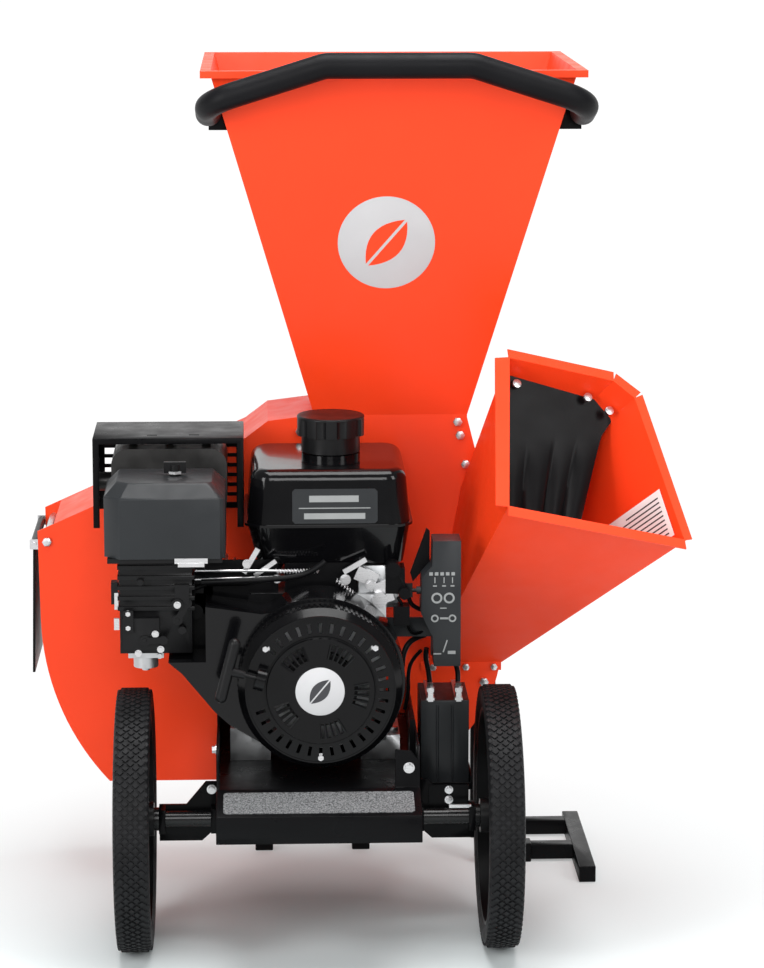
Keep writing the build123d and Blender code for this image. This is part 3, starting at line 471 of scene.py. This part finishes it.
def louvres(bm):
    """Slanted louvre ribs between the slots of the cover's face."""
    for degrees in (128, 62, -6, -75, -145):
        for step in (-16, -8, 0, 8, 16):
            angle = math.radians(degrees + step)
            turn = Matrix.Rotation(-angle, 3, "Y") @ Matrix.Rotation(math.radians(24), 3, "X")
            block(bm, on_cover(62, angle, COVER_FRONT_Y), (23, 3.0, 2.6), turn)


add_object("cover_louvres", mesh_from("cover_louvres", louvres), "gloss_black_plastic")


def hex_bolt(bm, centre, axis, flats, height, washer=0.0):
    """A hexagonal head standing on centre, with a washer if one is wanted."""
    axis = Vector(axis).normalized()
    if washer:
        cylinder(bm, centre + axis * 0.8 * MM, axis, washer / 2 * MM, 1.6 * MM, 32)
    cylinder(bm, centre + axis * (1.6 + height / 2) * MM, axis, flats / 1.732 * MM, height * MM, 6)


def cover_screws(bm):
    """Three screws that hold the recoil cover."""
    for degrees in (38, 142, -90):
        hex_bolt(bm, on_cover(105, math.radians(degrees), -91), FORWARDS, 8, 4, 13)


add_object("cover_screws", mesh_from("cover_screws", cover_screws, 20), "zinc_steel")


# ---------------------------------------------------------------- hopper, tank and air cleaner details

HOPPER_SLOPE = (327.0 - 200.0) / (1340.0 - 776.0)
badge("hopper_badge", at(117, 327 - (1064 - 776) * HOPPER_SLOPE - 0.3, 1064), (0, -1, -HOPPER_SLOPE), 77, 1.0,
      MATERIALS["orange_steel"])


def plate(bm, corners, out, thickness):
    """A flat plate on four or more corners, raised along out by its thickness in millimetres."""
    lift = Vector(out).normalized() * thickness * MM
    lows = [bm.verts.new(corner) for corner in corners]
    tops = [bm.verts.new(corner + lift) for corner in corners]
    bm.faces.new(lows)
    bm.faces.new(list(reversed(tops)))
    count = len(corners)
    for i in range(count):
        j = (i + 1) % count
        bm.faces.new((lows[i], tops[i], tops[j], lows[j]))


TANK_SLOPE = 8.0 / 85.0
TANK_OUT = (0, -1, 0.09)


def tank_face(x, z, lift=0.0):
    """A point on the tank's front between its seam and its top."""
    return at(x, 44 + (z - 653) * TANK_SLOPE - lift, z)


def tank_panel(bm):
    """Panel on the tank's front."""
    outline = [(-36, 661), (-32, 657), (91, 657), (95, 661), (95, 706), (91, 710), (-32, 710), (-36, 706)]
    plate(bm, [tank_face(x, z) for x, z in outline], TANK_OUT, 1.2)


def tank_bars(bm):
    """Plain bars where the panel would carry its lettering."""
    for x0, x1, z0, z1 in ((-10, 66, 690, 700), (-26, 84, 680, 681.5), (-18, 76, 664, 673)):
        corners = [tank_face(x, z, 1.2) for x, z in ((x0, z0), (x1, z0), (x1, z1), (x0, z1))]
        plate(bm, corners, TANK_OUT, 0.4)


add_object("tank_panel", mesh_from("tank_panel", tank_panel), "satin_plastic")
add_object("tank_bars", mesh_from("tank_bars", tank_bars), "zinc_steel", material=ICON)


def cleaner_clip(bm):
    """Clip under the air cleaner and the nut on its top."""
    block(bm, at(-190, -32, 617), (50, 3, 8))
    block(bm, at(-190, -34, 611), (40, 2, 6))
    cylinder(bm, at(-215, 50, 738), (0, 0, 1), 11 * MM, 4 * MM, 6)


add_object("cleaner_clip", mesh_from("cleaner_clip", cleaner_clip), "zinc_steel")


# ---------------------------------------------------------------- intake, carburettor and linkage

def intake_details(bm):
    """Bosses and lugs on the intake box."""
    for x, z, radius in ((-287, 522, 7), (-212, 545, 9), (-246, 500, 6), (-268, 580, 5), (-205, 505, 6)):
        cylinder(bm, at(x, -8, z), (0, 1, 0), radius * MM, 14 * MM, 20)
    block(bm, at(-287, -14, 520), (16, 8, 34))
    block(bm, at(-205, -6, 560), (22, 12, 30))
    block(bm, at(-308, 10, 560), (10, 20, 34))


def intake_metal(bm):
    """Screws and small clips on the intake box."""
    for x, z in ((-287, 532), (-287, 510), (-212, 545), (-246, 500), (-272, 470), (-238, 476)):
        hex_bolt(bm, at(x, -15, z), FORWARDS, 7, 3, 11)
    block(bm, at(-305, 2, 548), (6, 6, 26))
    block(bm, at(-305, 2, 512), (8, 5, 18))


add_object("intake_details", mesh_from("intake_details", intake_details), "black_plastic")
add_object("intake_metal", mesh_from("intake_metal", intake_metal, 20), "zinc_steel")


def spring(name, start, end, radius, turns, wire):
    """A coil spring between two points of the working frame."""
    start, end = at(*start), at(*end)
    along = end - start
    axis = along.normalized()
    side = axis.orthogonal().normalized()
    other = axis.cross(side)
    points = []
    steps = turns * 10
    for k in range(steps + 1):
        angle = 2 * math.pi * k / 10
        ring = side * math.cos(angle) + other * math.sin(angle)
        points.append(start + along * k / steps + ring * radius * MM)
    return tube_piece(name, points, wire, "zinc_steel")


spring("governor_spring", (-62, 34, 585), (4, 34, 585), 3.5, 14, 0.7)
spring("throttle_spring", (30, 36, 570), (58, 36, 548), 3.5, 7, 0.7)


def linkage_metal(bm):
    """Bright levers, bolts and brackets between the tank and the starter."""
    hex_bolt(bm, at(45, 42, 569), FORWARDS, 12, 8, 17)
    hex_bolt(bm, at(-106, 40, 596), FORWARDS, 9, 6, 14)
    hex_bolt(bm, at(-60, 40, 572), FORWARDS, 9, 6, 14)
    hex_bolt(bm, at(84, 44, 560), FORWARDS, 11, 6, 16)
    hex_bolt(bm, at(-216, 60, 472), FORWARDS, 11, 6, 16)
    block(bm, at(78, 50, 572), (34, 6, 22), Matrix.Rotation(math.radians(24), 3, "Y"))
    block(bm, at(104, 48, 548), (26, 8, 34), Matrix.Rotation(math.radians(-18), 3, "Y"))
    block(bm, at(60, 46, 590), (40, 4, 8), Matrix.Rotation(math.radians(-30), 3, "Y"))
    cylinder(bm, at(98, 40, 538), (0, 1, 0), 12 * MM, 10 * MM, 24)
    block(bm, at(-100, 42, 600), (8, 4, 44), Matrix.Rotation(math.radians(30), 3, "Y"))
    block(bm, at(-78, 42, 588), (40, 3, 7), Matrix.Rotation(math.radians(-35), 3, "Y"))


def linkage_black(bm):
    """Black plates and bosses behind the linkage and beside the shroud."""
    block(bm, at(8, 60, 568), (112, 4, 48))
    block(bm, at(-122, 59, 556), (128, 4, 84))
    block(bm, at(122, 62, 566), (30, 40, 40))
    cylinder(bm, at(118, 44, 586), (0, 1, 0), 12 * MM, 30 * MM, 24)
    cylinder(bm, at(136, 44, 548), (0, 1, 0), 9 * MM, 26 * MM, 24)
    block(bm, at(132, 50, 512), (24, 30, 30))
    block(bm, at(-190, 59, 500), (62, 4, 126))
    block(bm, at(-40, 40, 533), (128, 4, 30))
    block(bm, at(-214, 62, 474), (26, 4, 30))
    cylinder(bm, at(-186, 56, 520), (0, 1, 0), 12 * MM, 26 * MM, 24)
    block(bm, at(-184, 58, 562), (22, 20, 28))


add_object("linkage_metal", mesh_from("linkage_metal", linkage_metal, 20), "zinc_steel")
add_object("linkage_black", mesh_from("linkage_black", linkage_black, 20), "black_steel")
BREATHER = [(-176, 30, 570), (-111, 26, 572), (-50, 26, 575), (-8, 28, 582), (14, 34, 600)]
tube_piece("breather_hose", [at(*point) for point in BREATHER], 4.5, "black_rubber")


# ---------------------------------------------------------------- controls, battery and wiring

def control_icons(bm):
    """Generic switch marks: bars, rings and dots."""
    front = 19.2
    for k in range(5):
        block(bm, at(176 + 8.5 * k, front, 582), (5.5, 1, 5))
    for x in (182, 196, 209):
        block(bm, at(x, front, 572), (1.6, 1, 9))
        block(bm, at(x, front, 563), (6, 1, 2))
    for x in (185, 204):
        lathe(bm, at(x, front, 544), FORWARDS, [(5.5, 0), (8.5, 0), (8.5, 0.5), (5.5, 0.5)], 32)
    for x in (182, 209):
        lathe(bm, at(x, front, 512), FORWARDS, [(3.5, 0), (6, 0), (6, 0.5), (3.5, 0.5)], 32)
    block(bm, at(195, front, 528), (10, 1, 1.6))
    block(bm, at(197, front, 512), (14, 1, 3))
    block(bm, at(186, front, 456), (12, 1, 2))
    block(bm, at(208, front, 458), (12, 1, 5))
    block(bm, at(198, front, 468), (2, 1, 20), Matrix.Rotation(math.radians(18), 3, "Y"))


add_object("control_icons", mesh_from("control_icons", control_icons), "zinc_steel", material=ICON)


def control_bracket(bm):
    """Thin plate behind the control box."""
    corners = [at(176, 66, 640), at(171, 66, 645), at(146, 66, 575), at(150, 66, 560), at(176, 66, 590)]
    plate(bm, corners, FORWARDS, 3)


add_object("control_bracket", mesh_from("control_bracket", control_bracket), "black_steel")


def battery_metal(bm):
    """The battery's terminals and their straps."""
    for x in (178, 222):
        block(bm, at(x, 78, 386), (11, 26, 6))
        hex_bolt(bm, at(x, 74, 388), (0, 0, 1), 9, 6, 13)
        block(bm, at(x, 61, 380), (8, 4, 22))


add_object("battery_metal", mesh_from("battery_metal", battery_metal, 20), "zinc_steel")

WIRES = [
    ("wire_battery_left", [(178, 84, 392), (176, 84, 414), (170, 76, 436), (172, 70, 452)], 4.0),
    ("wire_battery_right", [(222, 90, 392), (224, 100, 412), (212, 88, 428), (206, 76, 442)], 4.0),
    ("wire_starter", [(170, 84, 470), (150, 96, 462), (136, 90, 440), (134, 84, 410), (128, 92, 380),
                      (110, 100, 372)], 4.5),
    ("wire_loom", [(166, 76, 512), (150, 60, 520), (142, 48, 540), (134, 44, 566), (120, 46, 584)], 3.5),
    ("wire_stop", [(170, 78, 480), (152, 70, 470), (140, 56, 494), (138, 48, 520), (126, 44, 540)], 2.5),
    ("wire_ground", [(164, 80, 446), (150, 90, 430), (144, 96, 404), (146, 104, 372), (140, 110, 344)], 3.0),
]
for wire_name, wire_points, wire_radius in WIRES:
    tube_piece(wire_name, [at(*point) for point in wire_points], wire_radius, "black_rubber")


# ---------------------------------------------------------------- chute curtain and label

MOUTH_AT = (436.0, 55.0, 770.0)
MOUTH_OUT = Vector((0.3, -0.8, 0.52)).normalized()
MOUTH_RIGHT = Vector((0.8, 0.3, 0.0)).normalized()
MOUTH_UP = MOUTH_OUT.cross(MOUTH_RIGHT)
MOUTH_WALL = ((84.0, 79.0), (108.0, -162.0))
BASE_WALL = ((303.0, 327.0, 618.0), (308.0, 327.0, 362.0))
CURTAIN_DEPTH = 40.0


def in_mouth(u, v, depth=0.0):
    """A point given across, up and into the chute's mouth."""
    return at(*MOUTH_AT) + (MOUTH_RIGHT * u + MOUTH_UP * v - MOUTH_OUT * depth) * MM


def curtain_edges(v):
    """The curtain's left and right edges at a height in the mouth."""
    left = -103 - (146 - v) * 0.235
    if v > 108:
        right = 46 - (v - 108) * 3.6
    elif v > 77:
        right = 46 + (108 - v)
    elif v > 42:
        right = 77 - (77 - v)
    else:
        right = 42 - (42 - v) * 0.48
    return left, max(right, left + 2)


def make_curtain():
    """A rubber sheet that bows inwards below its bolts; its lower part bows as four strips, which stay
    joined.
    """
    rows, columns = 44, 48
    slits = (0.27, 0.52, 0.77)

    def sheet(bm):
        sides = []
        for thickness in (0.0, 3.0):
            grid = []
            for i in range(rows + 1):
                v = 144 - 240 * i / rows
                left, right = curtain_edges(v)
                line = []
                for j in range(columns + 1):
                    share = j / columns
                    drop = i / rows
                    bow = 22 * math.sin(min(1.0, drop * 1.5) * math.pi * 0.5) + 10 * drop
                    if drop > 0.42:
                        strip = sum(share > slit for slit in slits)
                        bow += (drop - 0.42) * (9, 1, 12, 4)[strip]
                        middle = (0.13, 0.39, 0.64, 0.88)[strip]
                        bow -= (drop - 0.42) * 14 * (1 - ((share - middle) / 0.13) ** 2)
                    across = left + (right - left) * share
                    line.append(bm.verts.new(in_mouth(across, v, CURTAIN_DEPTH + bow + thickness)))
                grid.append(line)
            sides.append(grid)
        front, back = sides
        for grid in sides:
            for i in range(rows):
                for j in range(columns):
                    bm.faces.new((grid[i][j], grid[i][j + 1], grid[i + 1][j + 1], grid[i + 1][j]))
        for i in range(rows):
            for j in (0, columns):
                bm.faces.new((front[i][j], front[i + 1][j], back[i + 1][j], back[i][j]))
        for j in range(columns):
            for i in (0, rows):
                bm.faces.new((front[i][j], front[i][j + 1], back[i][j + 1], back[i][j]))

    curtain = add_object("curtain_sheet", mesh_from("curtain_sheet", sheet, 60), "black_rubber")
    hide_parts("chute_curtain")


make_curtain()


def wall_point(inwards, upwards, lift=0.0):
    """A point on the chute's outer side wall: inwards from the mouth, upwards from its low edge."""
    top, low = (in_mouth(*corner) for corner in MOUTH_WALL)
    base_top, base_low = (at(*corner) for corner in BASE_WALL)
    mouth = low.lerp(top, upwards)
    base = base_low.lerp(base_top, upwards)
    normal = (base - mouth).cross(top - low).normalized()
    if normal.x > 0:
        normal = -normal
    return mouth.lerp(base, inwards) + normal * lift * MM


def label_quad(bm, s0, s1, t0, t1, lift):
    """A thin plate on the chute's side wall."""
    corners = [wall_point(s, t, lift) for s, t in ((s0, t0), (s1, t0), (s1, t1), (s0, t1))]
    normal = (corners[1] - corners[0]).cross(corners[3] - corners[0]).normalized()
    if normal.x > 0:
        normal = -normal
    plate(bm, corners, normal, 0.3)


add_object("chute_label", mesh_from("chute_label", lambda bm: label_quad(bm, 0.03, 0.32, 0.07, 0.385, 4.2)),
           "zinc_steel", material=WHITE_LABEL)


def label_lines(bm):
    """Plain rows where the label would carry its text."""
    for row in range(9):
        t0 = 0.095 + 0.03 * row
        label_quad(bm, 0.05, 0.29 - 0.03 * (row % 3), t0, t0 + 0.009, 4.6)


add_object("chute_label_lines", mesh_from("chute_label_lines", label_lines), "black_plastic",
           material=DARK_PRINT)


# ---------------------------------------------------------------- housing and chassis details

def frame_bolts(bm):
    """Bolts on the deck and the axle plates."""
    hex_bolt(bm, at(137, -100, 310), FORWARDS, 11, 6, 17)
    hex_bolt(bm, at(-163, 12.5, 246), FORWARDS, 10, 6, 15)
    for z in (242, 226):
        hex_bolt(bm, at(204, 10, z), FORWARDS, 9, 6, 13)
    block(bm, at(220, -14, 223), (34, 5, 5))
    hex_bolt(bm, at(-154, -60, 330), (-1, 0, 0), 10, 5, 15)


def frame_plates(bm):
    """Two small plates on the right of the deck."""
    block(bm, at(204, 12, 232), (62, 4, 34))
    block(bm, at(146, 20, 330), (8, 60, 60))


add_object("frame_bolts", mesh_from("frame_bolts", frame_bolts, 20), "zinc_steel")
add_object("frame_plates", mesh_from("frame_plates", frame_plates, 20), "black_steel")


# ---------------------------------------------------------------- camera, lights and floor

FOCAL_PX = 3216.0
IMAGE_HEIGHT = 968
SENSOR = 36.0
PRINCIPAL_Y = 396.5
WHITE = 1.05          # what the camera sees behind the machine, from any side
SKY_LIGHT = 0.3       # how strongly the sky lights the machine


def make_camera():
    """The camera, level across and tilted down."""
    yaw, pitch = math.radians(2.2), math.radians(9.7)
    forward = Vector((math.sin(yaw) * math.cos(pitch), math.cos(yaw) * math.cos(pitch), -math.sin(pitch)))
    data = bpy.data.cameras.new("camera")
    data.sensor_width = SENSOR
    data.lens = FOCAL_PX / IMAGE_HEIGHT * SENSOR
    data.shift_y = -(IMAGE_HEIGHT / 2 - PRINCIPAL_Y) / IMAGE_HEIGHT
    data.clip_end = 100
    camera = bpy.data.objects.new("camera", data)
    bpy.context.scene.collection.objects.link(camera)
    camera.location = at(-84, -4789, 1681)
    camera.rotation_euler = forward.to_track_quat("-Z", "Y").to_euler()
    bpy.context.scene.camera = camera


def area_light(name, place, target, size, power, size_y=None):
    """A square or upright rectangular light."""
    data = bpy.data.lights.new(name, "AREA")
    data.energy = power
    data.size = size
    if size_y:
        data.shape = "RECTANGLE"
        data.size_y = size_y
    light = bpy.data.objects.new(name, data)
    bpy.context.scene.collection.objects.link(light)
    light.location = place
    light.rotation_euler = (Vector(target) - Vector(place)).to_track_quat("-Z", "Y").to_euler()
    return light


def white_material(name, strength):
    """A plain white glow."""
    material = bpy.data.materials.new(name)
    material.use_nodes = True
    tree = material.node_tree
    tree.nodes.clear()
    output = tree.nodes.new("ShaderNodeOutputMaterial")
    light = tree.nodes.new("ShaderNodeEmission")
    light.inputs["Color"].default_value = (1, 1, 1, 1)
    light.inputs["Strength"].default_value = strength
    tree.links.new(light.outputs["Emission"], output.inputs["Surface"])
    return material


def floor_material():
    """A pale floor with painted light: a white glow fades in away from the machine, so the lamps and their
    shadows show only near it.
    """
    material = bpy.data.materials.new("floor")
    material.use_nodes = True
    tree = material.node_tree
    shader = tree.nodes["Principled BSDF"]
    # The cool tint is painted against the orange light that the machine bounces onto the floor.
    shader.inputs["Base Color"].default_value = (0.71, 0.765, 0.77, 1)
    shader.inputs["Roughness"].default_value = 0.9
    shader.inputs["Specular IOR Level"].default_value = 0.1
    output = tree.nodes["Material Output"]
    # Painted light: a glow that turns the floor white away from the machine, blended in by the spherical mask
    # below.
    glow = tree.nodes.new("ShaderNodeEmission")
    glow.inputs["Strength"].default_value = WHITE
    blend = tree.nodes.new("ShaderNodeMixShader")
    coordinates = tree.nodes.new("ShaderNodeTexCoord")
    mapping = tree.nodes.new("ShaderNodeMapping")
    mapping.inputs["Location"].default_value = (0.05, 0.25, 0)
    mapping.inputs["Scale"].default_value = (1 / 1.5, 1 / 1.3, 1)
    gradient = tree.nodes.new("ShaderNodeTexGradient")
    gradient.gradient_type = "SPHERICAL"
    tree.links.new(coordinates.outputs["Object"], mapping.inputs["Vector"])
    tree.links.new(mapping.outputs["Vector"], gradient.inputs["Vector"])
    share = ramp(tree, gradient.outputs["Fac"], [(0.0, (0, 0, 0)), (0.75, (1, 1, 1))])
    tree.links.new(share.outputs["Color"], blend.inputs["Fac"])
    tree.links.new(glow.outputs["Emission"], blend.inputs[1])
    tree.links.new(shader.outputs["BSDF"], blend.inputs[2])
    tree.links.new(blend.outputs["Shader"], output.inputs["Surface"])
    return material


def stage_piece(name, make, material):
    """A piece of the studio, which is not part of the machine."""
    mesh = mesh_from(name, make)
    piece = bpy.data.objects.new(name, mesh)
    bpy.context.scene.collection.objects.link(piece)
    mesh.materials.append(material)
    return piece


def make_stage():
    """Sky, lights, floor and a backdrop that lights the machine but does not show."""
    world = bpy.data.worlds.new("studio")
    bpy.context.scene.world = world
    world.use_nodes = True
    tree = world.node_tree
    sky = tree.nodes["Background"]
    sky.inputs["Color"].default_value = (1, 1, 1, 1)
    path = tree.nodes.new("ShaderNodeLightPath")
    strength = tree.nodes.new("ShaderNodeMapRange")
    strength.inputs["To Min"].default_value = SKY_LIGHT
    strength.inputs["To Max"].default_value = WHITE
    tree.links.new(path.outputs["Is Camera Ray"], strength.inputs["Value"])
    tree.links.new(strength.outputs["Result"], sky.inputs["Strength"])
    middle = Vector((0, 0, 0.75))
    area_light("top", (0.1, -0.3, 4.2), middle, 2.6, 170)
    area_light("left", (-3.2, -3.0, 1.9), Vector((-0.3, 0, 0.6)), 1.2, 95, 2.6)
    area_light("right", (3.2, -3.2, 2.8), middle, 1.2, 75, 2.6)
    area_light("front", (-0.4, -5.6, 3.0), middle, 2.2, 110)

    def ground(bm):
        bmesh.ops.create_grid(bm, x_segments=4, y_segments=4, size=16)

    floor = stage_piece("floor", ground, floor_material())
    floor.location = (0, 0, -0.0005)

    def wall(bm):
        corners = [Vector((x, 6, z)) for x, z in ((-9, -1), (9, -1), (9, 5), (-9, 5))]
        bm.faces.new([bm.verts.new(corner) for corner in corners])

    backdrop = stage_piece("backdrop", wall, white_material("backdrop", WHITE))
    backdrop.visible_camera = False
    bpy.context.scene.view_settings.view_transform = "Standard"


make_camera()
make_stage()
